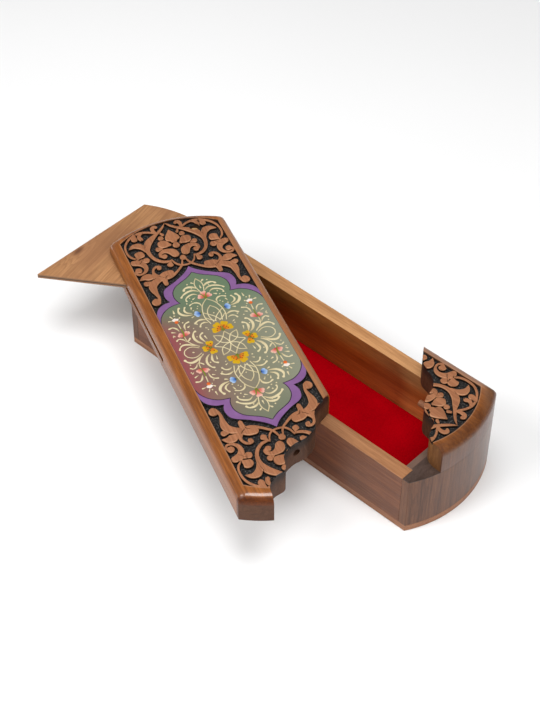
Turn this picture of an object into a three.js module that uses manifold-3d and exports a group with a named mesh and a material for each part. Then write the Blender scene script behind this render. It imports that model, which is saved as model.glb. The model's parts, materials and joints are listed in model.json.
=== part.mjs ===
// A long wooden puzzle box, shown open, in millimetres with +Z up.
// The carved lid is one plank, sawn in two along a wavy line. The short end of it is glued
// to the box. The long end slides clear of a peg and then swings aside on a hidden screw.
// A thin leaf in a slot of the lid turns on the same screw. While the leaf is in, a pin in
// the lid sits in a notch of the leaf, and the lid can't slide.
// The origin is the middle of the underside, with +X towards the end that holds the peg.
import * as THREE from "three";
import { mergeVertices } from "three/addons/utils/BufferGeometryUtils.js";
import Module from "manifold-3d";

const wasm = await Module();
wasm.setup();

// Plan of the box, seen from above
const SIDE_LENGTH = 230;
const BOX_WIDTH = 78.5;
const END_BULGE = 11;
const ARC_STEPS = 28;

// Body
const BODY_HEIGHT = 42.5;
const BOARD_THICKNESS = 4.5;
const WALL_THICKNESS = 9.2;
const END_BLOCK_THICKNESS = 9.6;
const WALL_HOUSING = 4.8;
const FELT_THICKNESS = 3;
const FELT_MARGIN = 0.3;

// Lid plank, carved field and raised panel in the middle of it
const LID_THICKNESS = 18.7;
const EDGE_ROUND = 5.6;
const ROUND_STEPS = 6;
const CORNER_FOOT_RADIUS = 0.8;
const CORNER_TOP_RADIUS = 4.6;
const CORNER_STEPS = 4;
const RIM_WIDTH = 6;
const CARVING_DEPTH = 2.2;
const FIELD_END_RADIUS = 55;
const PEG_END_RIM = 7.5;
const PIVOT_END_RIM = 4.7;
const PANEL_STEPS = 10;

// Bezier points of a quarter of the panel: tip, ogee, round lobe, cusp, shoulder at the rim
const PANEL_TIP = [74.2, 0];
const PANEL_CURVES = [
  [[67.2, 4], [64.7, 10], [62.6, 14.2]],
  [[60.4, 19], [58.5, 23.4], [53, 23.4]],
  [[50.3, 23.4], [48.2, 22.6], [46.5, 21.4]],
  [[46.2, 29.5], [42.5, 32.5], [38, 33.4]],
];

// Wavy saw cut between the lid and the fixed end, from beyond the back edge to the end,
// as distances in from the straight sides' end and towards the back
const CUT_GAP = 0.6;
const CUT_STEPS = 72;
const CUT_POINTS = [
  [63, 50], [54.5, 38], [45, 25.6], [34.5, 21.4], [27.8, 13.5], [25.2, 4],
  [19.5, -4], [10, -7], [6.8, -15], [1.2, -19.8], [-8, -21], [-19, -21.2],
];

// Clearances
const RUNNING_GAP = 0.3;
const SEAT_GAP = 0.3;

// Peg that holds the end of the lid down
const PEG_DIAMETER = 4;
const PEG_REACH = 5;
const PEG_SEAT_DEPTH = 12;
const PEG_HEIGHT = 9.5;
const PEG_Y = 6;

// Screw that the lid and the leaf turn on, and the travel of the lid along its slot
const PIVOT_FROM_INSIDE = 4.1;
const PIVOT_FROM_BACK = 22.45;
const SLIDE_SPARE = 3;
const SCREW_DIAMETER = 3.2;
const SCREW_HEAD_DIAMETER = 6.2;
const SCREW_HEAD_HEIGHT = 2.3;
const SCREW_SEAT_DEPTH = 22;
const PLUG_THICKNESS = 2.8;
const ROUND_SIDES = 32;

// Leaf and the slot that it closes
const LEAF_THICKNESS = 3;
const LEAF_LENGTH = 95;
const LEAF_BED = 5.4;
const LEAF_SETBACK = 0.2;
const LEAF_SHOULDER_REACH = 56.5;
const LEAF_SHOULDER_DROP = 4.8;
const SLOT_ROOM = 0.7;
const HEEL_ROOM = 2;
const HEEL_MOUTH_ANGLE = 122;

// Pin in the lid that locks the leaf, measured from the screw, and the leaf's notches for it
const STOP_PIN_DIAMETER = 3;
const STOP_PIN_REACH = 31.5;
const STOP_PIN_OFFSET = 2.2;
const STOP_PIN_GRIP = 3;
const NOTCH_SWEEP = 20;

// Pose of the photograph
const LID_OPEN_ANGLE = 24.6;
const LEAF_OPEN_ANGLE = 64.2;

const HALF_LENGTH = SIDE_LENGTH / 2;
const HALF_WIDTH = BOX_WIDTH / 2;
const END_RADIUS = (HALF_WIDTH ** 2 + END_BULGE ** 2) / (2 * END_BULGE);
const END_CENTRE_X = HALF_LENGTH + END_BULGE - END_RADIUS;
const LID_BOTTOM = BODY_HEIGHT + RUNNING_GAP;
const LID_TOP = BODY_HEIGHT + LID_THICKNESS;
const SLOT_BOTTOM = LID_BOTTOM + LEAF_BED;
const LEAF_BOTTOM = SLOT_BOTTOM + RUNNING_GAP;
const LEAF_TOP = LEAF_BOTTOM + LEAF_THICKNESS;
const SLOT_TOP = LEAF_TOP + RUNNING_GAP;
const HEAD_TOP = SLOT_TOP + SCREW_HEAD_HEIGHT;
const CHANNEL_TOP = HEAD_TOP + RUNNING_GAP;
const CHANNEL_RADIUS = SCREW_HEAD_DIAMETER / 2 + RUNNING_GAP;
const PAST = 1;
const BEYOND = 60;
const degrees = THREE.MathUtils.degToRad;
const blockFaceX = HALF_LENGTH - END_BLOCK_THICKNESS;
const pivot = new THREE.Vector2(-blockFaceX - PIVOT_FROM_INSIDE, HALF_WIDTH - PIVOT_FROM_BACK);
const travel = new THREE.Vector2(PEG_REACH + SLIDE_SPARE, 0);

const WALNUT = { color: 0x8a5f44, roughness: 0.45, metalness: 0 };
const PALE_WOOD = { color: 0xd7a569, roughness: 0.55, metalness: 0 };
const CARVED_WOOD = { color: 0xb0714a, roughness: 0.35, metalness: 0 };
const FELT = { color: 0x96000a, roughness: 0.95, metalness: 0 };
const STEEL = { color: 0x9a9ca0, roughness: 0.35, metalness: 0.9 };

// Solids: a closed three.js geometry as a boolean solid, and back
function solidOf(geometry) {
  const bare = new THREE.BufferGeometry();
  bare.setAttribute("position", geometry.getAttribute("position"));
  if (geometry.index) bare.setIndex(geometry.index);
  const merged = mergeVertices(bare, 1e-4);
  return new wasm.Manifold(new wasm.Mesh({
    numProp: 3,
    vertProperties: Float32Array.from(merged.getAttribute("position").array),
    triVerts: Uint32Array.from(merged.index.array),
  }));
}

function geometryOf(solid) {
  const mesh = solid.getMesh();
  const shared = new THREE.BufferGeometry();
  shared.setAttribute("position", new THREE.BufferAttribute(mesh.vertProperties, 3));
  shared.setIndex(new THREE.BufferAttribute(mesh.triVerts, 1));
  const geometry = shared.toNonIndexed();
  geometry.computeVertexNormals();
  return geometry;
}

const without = (solid, cutters) => cutters.reduce((left, cutter) => left.subtract(cutter), solid);

// An outline in plan, drawn up from one height to another
function prism(shape, bottom, top, curveSegments = ARC_STEPS) {
  const geometry = new THREE.ExtrudeGeometry(shape, {
    depth: top - bottom,
    bevelEnabled: false,
    curveSegments,
  });
  return solidOf(geometry.translate(0, 0, bottom));
}

function disc(centre, radius, bottom, top) {
  const geometry = new THREE.CylinderGeometry(radius, radius, top - bottom, ROUND_SIDES);
  geometry.rotateX(Math.PI / 2);
  return solidOf(geometry.translate(centre.x, centre.y, (bottom + top) / 2));
}

function rod(radius, fromX, toX, y, z) {
  const geometry = new THREE.CylinderGeometry(radius, radius, toX - fromX, ROUND_SIDES);
  geometry.rotateZ(Math.PI / 2);
  return solidOf(geometry.translate((fromX + toX) / 2, y, z));
}

// A round-ended slot along X, as wide as the pivot's path through the lid
function pathSlot(radius, bottom, top) {
  const shape = new THREE.Shape();
  shape.absarc(pivot.x, pivot.y, radius, Math.PI / 2, -Math.PI / 2);
  shape.absarc(pivot.x + travel.x, pivot.y, radius, -Math.PI / 2, Math.PI / 2);
  return prism(shape, bottom, top, ROUND_SIDES / 2);
}

function block(fromX, toX, fromY, toY, bottom, top) {
  const geometry = new THREE.BoxGeometry(toX - fromX, toY - fromY, top - bottom);
  return solidOf(geometry.translate((fromX + toX) / 2, (fromY + toY) / 2, (bottom + top) / 2));
}

// Points on an arc, evenly from one angle to another
function arcPoints(centre, radius, from, to, steps) {
  return Array.from({ length: steps + 1 }, (_, step) => {
    const angle = from + ((to - from) * step) / steps;
    return new THREE.Vector2(centre.x + radius * Math.cos(angle), centre.y + radius * Math.sin(angle));
  });
}

const turnedRound = (points) => points.map((point) => new THREE.Vector2(-point.x, -point.y));

// Plan of the box drawn in by `inset`: two straight sides between two bulging ends
function planPoints(inset) {
  const radius = END_RADIUS - inset;
  const spread = Math.asin((HALF_WIDTH - inset) / radius);
  const end = arcPoints(new THREE.Vector2(END_CENTRE_X, 0), radius, -spread, spread, ARC_STEPS);
  return [...end, ...turnedRound(end)];
}

// The same plan with its four corners rounded
function roundedPlanPoints(inset, corner) {
  const radius = END_RADIUS - inset;
  const cornerY = HALF_WIDTH - inset - corner;
  const spread = Math.asin(cornerY / (radius - corner));
  const cornerX = END_CENTRE_X + (radius - corner) * Math.cos(spread);
  const right = Math.PI / 2;
  const end = [
    ...arcPoints(new THREE.Vector2(cornerX, -cornerY), corner, -right, -spread, CORNER_STEPS),
    ...arcPoints(new THREE.Vector2(END_CENTRE_X, 0), radius, -spread, spread, ARC_STEPS).slice(1, -1),
    ...arcPoints(new THREE.Vector2(cornerX, cornerY), corner, spread, right, CORNER_STEPS),
  ];
  return [...end, ...turnedRound(end)];
}

// A closed skin through rings of equal point counts, flat at both ends
function loft(rings) {
  const count = rings[0].points.length;
  const positions = rings.flatMap(({ points, z }) => points.flatMap((point) => [point.x, point.y, z]));
  const faces = [];
  for (let ring = 0; ring + 1 < rings.length; ring += 1) {
    for (let i = 0; i < count; i += 1) {
      const here = ring * count + i;
      const next = ring * count + ((i + 1) % count);
      faces.push(here, next, next + count, here, next + count, here + count);
    }
  }
  const last = (rings.length - 1) * count;
  for (const [a, b, c] of THREE.ShapeUtils.triangulateShape(rings[0].points, [])) {
    faces.push(a, c, b, last + a, last + b, last + c);
  }
  const geometry = new THREE.BufferGeometry();
  geometry.setAttribute("position", new THREE.Float32BufferAttribute(positions, 3));
  geometry.setIndex(faces);
  return solidOf(geometry);
}

// The whole lid plank before it is sawn: upright sides that round over into the rim, with
// corners that grow rounder towards the top
function lidPlank(bottom) {
  const rings = [{ points: roundedPlanPoints(0, CORNER_FOOT_RADIUS), z: bottom }];
  for (let step = 0; step <= ROUND_STEPS; step += 1) {
    const turn = (Math.PI / 2) * (step / ROUND_STEPS);
    const inset = EDGE_ROUND * (1 - Math.cos(turn));
    const corner = THREE.MathUtils.lerp(CORNER_FOOT_RADIUS, CORNER_TOP_RADIUS, Math.sin(turn));
    const z = LID_TOP - EDGE_ROUND * (1 - Math.sin(turn));
    rings.push({ points: roundedPlanPoints(inset, corner), z });
  }
  return loft(rings);
}

// One side of the saw cut, as an outline that reaches past the plank
const cutCurve = new THREE.SplineCurve(CUT_POINTS.map(([x, y]) => new THREE.Vector2(HALF_LENGTH - x, y)));

function cutLine(offset) {
  return cutCurve.getPoints(CUT_STEPS).map((point, i) => {
    const along = cutCurve.getTangent(i / CUT_STEPS);
    return new THREE.Vector2(point.x - along.y * offset, point.y + along.x * offset);
  });
}

function cutSide(offset, farX) {
  const line = cutLine(offset);
  const first = line[0];
  const last = line[line.length - 1];
  const corners = farX < 0
    ? [[last.x, -BEYOND], [farX, -BEYOND], [farX, first.y]]
    : [[farX, last.y], [farX, first.y]];
  const shape = new THREE.Shape([...line, ...corners.map(([x, y]) => new THREE.Vector2(x, y))]);
  return prism(shape, 0, LID_TOP + BEYOND);
}

function cutXAt(y) {
  const line = cutLine(0);
  const after = line.findIndex((point) => point.y < y);
  const [above, below] = [line[after - 1], line[after]];
  return above.x + ((above.y - y) / (above.y - below.y)) * (below.x - above.x);
}

// Raised panel, mirrored to its four quarters
function panelShape() {
  const quarter = new THREE.Path();
  quarter.moveTo(...PANEL_TIP);
  for (const [leave, arrive, end] of PANEL_CURVES) quarter.bezierCurveTo(...leave, ...arrive, ...end);
  quarter.lineTo(PANEL_CURVES.at(-1)[2][0], HALF_WIDTH);
  const corner = quarter.getPoints(PANEL_STEPS);
  const flip = (points, x, y) => points.map((point) => new THREE.Vector2(x * point.x, y * point.y));
  const inner = corner.slice(1);
  return new THREE.Shape([
    ...corner,
    ...flip(corner, -1, 1).reverse(),
    ...flip(inner, -1, -1),
    ...flip(inner, 1, -1).reverse(),
  ]);
}

// One end of the carved field, rounder than the plank's, with its own rim left past it
function fieldEnd(rim) {
  const spread = Math.asin((HALF_WIDTH - RIM_WIDTH) / FIELD_END_RADIUS);
  const centre = new THREE.Vector2(HALF_LENGTH + END_BULGE - rim - FIELD_END_RADIUS, 0);
  return arcPoints(centre, FIELD_END_RADIUS, -spread, spread, ARC_STEPS);
}

// The two sunk fields that the carving stands in, either side of the raised panel
function carvedFields() {
  const outline = [...fieldEnd(PEG_END_RIM), ...turnedRound(fieldEnd(PIVOT_END_RIM))];
  const field = prism(new THREE.Shape(outline), LID_TOP - CARVING_DEPTH, LID_TOP + PAST);
  return field.subtract(prism(panelShape(), 0, LID_TOP + 2 * PAST));
}

// Body pieces
function bottomBoard() {
  return prism(new THREE.Shape(planPoints(0)), 0, BOARD_THICKNESS);
}

function longWall(side) {
  const reach = HALF_LENGTH - WALL_HOUSING;
  const inner = side * (HALF_WIDTH - WALL_THICKNESS);
  const outer = side * HALF_WIDTH;
  return block(-reach, reach, Math.min(inner, outer), Math.max(inner, outer), BOARD_THICKNESS, BODY_HEIGHT);
}

// A curved end, with a tongue that fits between the long walls
function endBlock(side) {
  const outside = prism(new THREE.Shape(planPoints(0)), BOARD_THICKNESS, BODY_HEIGHT);
  const shoulderX = HALF_LENGTH - WALL_HOUSING;
  const between = HALF_WIDTH - WALL_THICKNESS;
  const far = HALF_LENGTH + BEYOND;
  const full = block(shoulderX, far, -BEYOND, BEYOND, 0, BODY_HEIGHT + PAST);
  const tongue = block(blockFaceX, far, -between, between, 0, BODY_HEIGHT + PAST);
  const region = full.add(tongue);
  return outside.intersect(side > 0 ? region : region.mirror([1, 0, 0]));
}

function pivotEndBlock() {
  const boreBottom = BODY_HEIGHT - SCREW_SEAT_DEPTH - SEAT_GAP;
  const bore = disc(pivot, SCREW_DIAMETER / 2 + SEAT_GAP, boreBottom, BODY_HEIGHT + PAST);
  return endBlock(-1).subtract(bore);
}

function feltLining() {
  const x = blockFaceX - FELT_MARGIN;
  const y = HALF_WIDTH - WALL_THICKNESS - FELT_MARGIN;
  return block(-x, x, -y, y, BOARD_THICKNESS, BOARD_THICKNESS + FELT_THICKNESS);
}

// Peg along X, seated in the fixed end and standing out of its sawn face
const pegZ = BODY_HEIGHT + PEG_HEIGHT;
const pegTipX = cutXAt(PEG_Y) + CUT_GAP / 2 - PEG_REACH;
const pegRootX = pegTipX + PEG_REACH + PEG_SEAT_DEPTH;

function fixedEnd() {
  const sawn = lidPlank(BODY_HEIGHT).intersect(cutSide(CUT_GAP / 2, HALF_LENGTH + BEYOND));
  const bore = rod(PEG_DIAMETER / 2 + SEAT_GAP, pegTipX, pegRootX + SEAT_GAP, PEG_Y, pegZ);
  return without(sawn, [carvedFields(), bore]);
}

function lockPeg() {
  return rod(PEG_DIAMETER / 2, pegTipX, pegRootX, PEG_Y, pegZ);
}

// Leaf outline: front edge, bulging end, round heel about the screw, slanted inner edges
const leafTip = new THREE.Vector2(LEAF_LENGTH - HALF_LENGTH, LEAF_SETBACK - HALF_WIDTH);
const leafShoulder = new THREE.Vector2(pivot.x + LEAF_SHOULDER_REACH, pivot.y - LEAF_SHOULDER_DROP);
const endCentre = new THREE.Vector2(-END_CENTRE_X, 0);
const heelRadius = END_RADIUS - LEAF_SETBACK - pivot.distanceTo(endCentre);
const heelAngle = pivot.clone().sub(endCentre).angle();

// Where a line from a point touches the back of a circle, as an angle about its centre
function touchAngle(centre, radius, point) {
  const away = point.clone().sub(centre);
  return Math.atan2(away.y, away.x) + Math.acos(radius / away.length());
}

function leafShape() {
  const endRadius = END_RADIUS - LEAF_SETBACK;
  const cornerAngle = Math.PI + Math.asin(-leafTip.y / endRadius);
  const backAngle = touchAngle(pivot, heelRadius, leafShoulder);
  const shape = new THREE.Shape();
  shape.moveTo(leafShoulder.x, leafShoulder.y);
  shape.lineTo(leafTip.x, leafTip.y);
  shape.absarc(endCentre.x, endCentre.y, endRadius, cornerAngle, heelAngle, true);
  shape.absarc(pivot.x, pivot.y, heelRadius, heelAngle, backAngle, true);
  return shape;
}

// Notch for the stop pin: an arc about the screw, from the pin out past the leaf's edge
const stopPinSeat = new THREE.Vector2(pivot.x + STOP_PIN_REACH, pivot.y + STOP_PIN_OFFSET);

function notch(pin) {
  const away = pin.clone().sub(pivot);
  const half = STOP_PIN_DIAMETER / 2 + RUNNING_GAP;
  const end = away.angle() + degrees(NOTCH_SWEEP);
  const shape = new THREE.Shape();
  shape.absarc(pivot.x, pivot.y, away.length() + half, away.angle(), end);
  shape.absarc(pivot.x, pivot.y, away.length() - half, end, away.angle(), true);
  const mouth = prism(shape, LEAF_BOTTOM - PAST, LEAF_TOP + PAST);
  return mouth.add(disc(pin, half, LEAF_BOTTOM - PAST, LEAF_TOP + PAST));
}

function swingLeaf() {
  const screwHole = disc(pivot, SCREW_DIAMETER / 2 + RUNNING_GAP, LEAF_BOTTOM - PAST, LEAF_TOP + PAST);
  const notches = [notch(stopPinSeat), notch(stopPinSeat.clone().sub(travel))];
  return without(prism(leafShape(), LEAF_BOTTOM, LEAF_TOP), [screwHole, ...notches]);
}

// Slot for the leaf: open at the front and the end, and long enough for the lid's slide
function leafSlot() {
  const radius = heelRadius + HEEL_ROOM;
  const slidPivot = pivot.clone().add(travel);
  const room = new THREE.Vector2(SLOT_ROOM, SLOT_ROOM);
  const corner = leafShoulder.clone().add(travel).add(room);
  const slant = leafTip.clone().sub(leafShoulder).multiplyScalar(1 / (leafShoulder.y - leafTip.y));
  const mouth = corner.clone().addScaledVector(slant, BEYOND);
  const mouthAngle = degrees(HEEL_MOUTH_ANGLE);
  const outsideX = -HALF_LENGTH - BEYOND;
  const shape = new THREE.Shape();
  shape.moveTo(outsideX, mouth.y);
  shape.lineTo(mouth.x, mouth.y);
  shape.lineTo(corner.x, corner.y);
  shape.absarc(slidPivot.x, slidPivot.y, radius, touchAngle(slidPivot, radius, corner), Math.PI / 2);
  shape.absarc(pivot.x, pivot.y, radius, Math.PI / 2, mouthAngle);
  shape.lineTo(outsideX, pivot.y + radius * Math.sin(mouthAngle));
  return prism(shape, SLOT_BOTTOM, SLOT_TOP);
}

const stopPinTop = SLOT_TOP + STOP_PIN_GRIP;

function lidPanel() {
  const sawn = lidPlank(LID_BOTTOM).intersect(cutSide(-CUT_GAP / 2, -HALF_LENGTH - BEYOND));
  const pegSocket = rod(PEG_DIAMETER / 2 + RUNNING_GAP, pegTipX - PAST, pegRootX, PEG_Y, pegZ);
  const collarSlot = pathSlot(CHANNEL_RADIUS, 0, LEAF_BOTTOM);
  const headChannel = pathSlot(CHANNEL_RADIUS, LEAF_TOP, CHANNEL_TOP);
  const plugHole = disc(pivot, CHANNEL_RADIUS, HEAD_TOP, LID_TOP + PAST);
  const pinHole = disc(stopPinSeat, STOP_PIN_DIAMETER / 2 + SEAT_GAP, 0, stopPinTop + SEAT_GAP);
  return without(sawn, [carvedFields(), leafSlot(), pegSocket, collarSlot, headChannel, plugHole, pinHole]);
}

// Small pieces at the pivot and the lock
function pivotScrew() {
  const shankBottom = BODY_HEIGHT - SCREW_SEAT_DEPTH;
  const shank = disc(pivot, SCREW_DIAMETER / 2, shankBottom, SLOT_TOP + SCREW_HEAD_HEIGHT / 2);
  const headRadius = SCREW_HEAD_DIAMETER / 2;
  const dome = [new THREE.Vector2(0, 0)];
  for (let step = 0; step < ROUND_STEPS; step += 1) {
    const turn = (Math.PI / 2) * (step / ROUND_STEPS);
    dome.push(new THREE.Vector2(headRadius * Math.cos(turn), SCREW_HEAD_HEIGHT * Math.sin(turn)));
  }
  dome.push(new THREE.Vector2(0, SCREW_HEAD_HEIGHT));
  const head = new THREE.LatheGeometry(dome, ROUND_SIDES);
  head.rotateX(Math.PI / 2);
  return shank.add(solidOf(head.translate(pivot.x, pivot.y, SLOT_TOP)));
}

function pivotCollar() {
  const bore = disc(pivot, SCREW_DIAMETER / 2 + RUNNING_GAP, 0, LID_TOP);
  return disc(pivot, SCREW_HEAD_DIAMETER / 2, LID_BOTTOM, SLOT_BOTTOM).subtract(bore);
}

function accessPlug() {
  return disc(pivot, CHANNEL_RADIUS - SEAT_GAP, CHANNEL_TOP, CHANNEL_TOP + PLUG_THICKNESS);
}

function stopPin() {
  return disc(stopPinSeat, STOP_PIN_DIAMETER / 2, LID_BOTTOM, stopPinTop);
}

// Scene graph: the body stands still, the swing group turns about the screw, and the lid
// slides inside the swing group
function piece(name, solid, look, parent, origin = new THREE.Vector2()) {
  const geometry = geometryOf(solid).translate(-origin.x, -origin.y, 0);
  const mesh = new THREE.Mesh(geometry, new THREE.MeshStandardMaterial(look));
  mesh.name = name;
  parent.add(mesh);
}

const group = new THREE.Group();
piece("bottom_board", bottomBoard(), WALNUT, group);
piece("front_wall", longWall(-1), WALNUT, group);
piece("back_wall", longWall(1), WALNUT, group);
piece("left_end_block", pivotEndBlock(), WALNUT, group);
piece("right_end_block", endBlock(1), WALNUT, group);
piece("felt_lining", feltLining(), FELT, group);
piece("fixed_lid_end", fixedEnd(), CARVED_WOOD, group);
piece("lock_peg", lockPeg(), PALE_WOOD, group);
piece("pivot_screw", pivotScrew(), STEEL, group);

const swing = new THREE.Group();
swing.position.set(pivot.x, pivot.y, 0);
swing.rotation.z = -degrees(LID_OPEN_ANGLE);
group.add(swing);
piece("pivot_collar", pivotCollar(), PALE_WOOD, swing, pivot);

const slide = new THREE.Group();
slide.position.x = -travel.x;
swing.add(slide);
piece("lid_panel", lidPanel(), CARVED_WOOD, slide, pivot);
piece("access_plug", accessPlug(), PALE_WOOD, slide, pivot);
piece("stop_pin", stopPin(), PALE_WOOD, slide, pivot);

const leafTurn = new THREE.Group();
leafTurn.rotation.z = -degrees(LEAF_OPEN_ANGLE);
swing.add(leafTurn);
piece("swing_leaf", swingLeaf(), WALNUT, leafTurn, pivot);

export default group;
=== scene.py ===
"""Looks of an open wooden puzzle box: walnut body, carved and painted lid, red felt.

Shapes are written in millimetres as they lie on the closed box, and are turned and slid
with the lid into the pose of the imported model. The finished meshes are in metres.
"""

import json
import math
from functools import partialmethod

import bmesh
import bpy
import numpy as np
from mathutils import Matrix, Vector


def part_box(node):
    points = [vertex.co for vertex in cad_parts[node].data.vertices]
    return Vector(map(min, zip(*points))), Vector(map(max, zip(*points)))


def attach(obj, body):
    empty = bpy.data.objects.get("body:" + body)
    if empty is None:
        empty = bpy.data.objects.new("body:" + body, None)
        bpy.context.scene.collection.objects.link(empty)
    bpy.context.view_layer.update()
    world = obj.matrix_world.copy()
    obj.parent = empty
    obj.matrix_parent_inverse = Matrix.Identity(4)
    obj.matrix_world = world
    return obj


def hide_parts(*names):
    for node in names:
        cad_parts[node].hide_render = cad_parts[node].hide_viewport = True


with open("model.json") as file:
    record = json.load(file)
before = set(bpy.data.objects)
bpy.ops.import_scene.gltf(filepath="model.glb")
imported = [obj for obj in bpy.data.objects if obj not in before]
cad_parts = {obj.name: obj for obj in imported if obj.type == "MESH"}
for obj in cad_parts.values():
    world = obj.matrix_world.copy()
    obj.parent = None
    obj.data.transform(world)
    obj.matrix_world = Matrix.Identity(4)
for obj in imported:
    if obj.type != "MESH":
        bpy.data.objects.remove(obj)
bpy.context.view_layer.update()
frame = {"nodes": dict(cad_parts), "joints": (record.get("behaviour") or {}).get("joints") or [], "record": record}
MM = 0.001

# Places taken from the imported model
JOINT = {joint["name"]: joint for joint in frame["joints"]}
PIVOT = Vector(JOINT["lid_swing"]["pos_m"]) / MM
LID_ANGLE = math.radians(JOINT["lid_swing"]["range_deg"][1])
LEAF_ANGLE = LID_ANGLE + math.radians(JOINT["leaf_swing"]["range_deg"][1])
TRAVEL = JOINT["lid_slide"]["range_m"][1] / MM
BODY_OF = {node: body for body, nodes in frame["record"]["behaviour"]["bodies"].items() for node in nodes}
LID_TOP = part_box("fixed_lid_end")[1].z / MM
BODY_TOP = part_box("back_wall")[1].z / MM
LEAF_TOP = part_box("swing_leaf")[1].z / MM
HALF_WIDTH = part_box("bottom_board")[1].y / MM
END_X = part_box("bottom_board")[1].x / MM
WALL = (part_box("back_wall")[1].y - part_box("back_wall")[0].y) / MM
BLOCK_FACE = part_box("right_end_block")[0].x / MM

# Straight sides, carved field and saw cut, as in the model
HALF_LENGTH = 115.0
CARVING_DEPTH = 2.2
SIDE_RIM, NEAR_RIM, FAR_RIM = 6.0, 7.5, 4.7
EDGE_ROUND = 5.6
FIELD_EDGE = HALF_WIDTH - SIDE_RIM
FIELD_RADIUS = 55.0
FIELD_CENTRES = (END_X - NEAR_RIM - FIELD_RADIUS, END_X - FAR_RIM - FIELD_RADIUS)
PLUG_HOLE_RADIUS = (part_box("access_plug")[1].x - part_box("access_plug")[0].x) / 2 / MM + 0.3
CUT_GAP = 0.6
FAR_X, FAR_Y = 200, 60
CUT_POINTS = [
    (63, 50), (54.5, 38), (45, 25.6), (34.5, 21.4), (27.8, 13.5), (25.2, 4),
    (19.5, -4), (10, -7), (6.8, -15), (1.2, -19.8), (-8, -21), (-19, -21.2),
]


def swung(angle):
    """From the closed box's millimetres to metres, swung open about the screw."""
    centre = Matrix.Translation((PIVOT.x, PIVOT.y, 0))
    return Matrix.Scale(MM, 4) @ centre @ Matrix.Rotation(-angle, 4, "Z") @ centre.inverted()


# How each group lies at rest
PLACES = {
    "box": Matrix.Scale(MM, 4),
    "lid": swung(LID_ANGLE) @ Matrix.Translation((-TRAVEL, 0, 0)),
    "leaf": swung(LEAF_ANGLE),
}


# Shader building

def paint(red, green, blue):
    """A colour given on a 0 to 255 screen scale, as the shader's linear values."""
    linear = [((c / 255 + 0.055) / 1.055) ** 2.4 if c > 10 else c / 3295 for c in (red, green, blue)]
    return (*linear, 1.0)


def shades(red, green, blue, spread=0.22):
    """Dark, middle and light tone of one wood, from its screen colour."""
    middle = paint(red, green, blue)
    dark = [c * (1 - spread) ** (1 + i * 0.25) for i, c in enumerate(middle[:3])]
    light = [min(1, c * (1 + spread) ** (1 + i * 0.15)) for i, c in enumerate(middle[:3])]
    return (*dark, 1), middle, (*light, 1)


def darker(colour, share):
    return (*[c * share for c in colour[:3]], 1)


def add_node(tree, kind, settings=None, inputs=None):
    """A new node in a tree: settings first, then values or links on its sockets."""
    made = tree.nodes.new(kind)
    for key, value in (settings or {}).items():
        setattr(made, key, value)
    for key, value in (inputs or {}).items():
        if isinstance(value, bpy.types.NodeSocket):
            tree.links.new(value, made.inputs[key])
        else:
            made.inputs[key].default_value = value
    return made


class Wire:
    """A shader socket that takes part in sums: each operator adds a node."""

    def __init__(self, finish, socket):
        self.finish = finish
        self.socket = socket

    def maths(self, operation, *others):
        values = dict(enumerate((self, *others)))
        return self.finish.node("ShaderNodeMath", {"operation": operation}, values)

    __add__ = partialmethod(maths, "ADD")
    __sub__ = partialmethod(maths, "SUBTRACT")
    __mul__ = partialmethod(maths, "MULTIPLY")
    __pow__ = partialmethod(maths, "POWER")
    abs = partialmethod(maths, "ABSOLUTE")
    fraction = partialmethod(maths, "FRACT")
    at_least = partialmethod(maths, "MAXIMUM")

    def __rsub__(self, other):
        return self * -1 + other

    def clamp(self):
        return self.finish.node("ShaderNodeClamp", {}, {0: self})

    def step(self, low, high):
        """0 below low, 1 above high, and a smooth rise between. It falls where low is the greater."""
        limits = {"Value": self, "From Min": low, "From Max": high}
        return self.finish.node("ShaderNodeMapRange", {"interpolation_type": "SMOOTHSTEP"}, limits)


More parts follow.
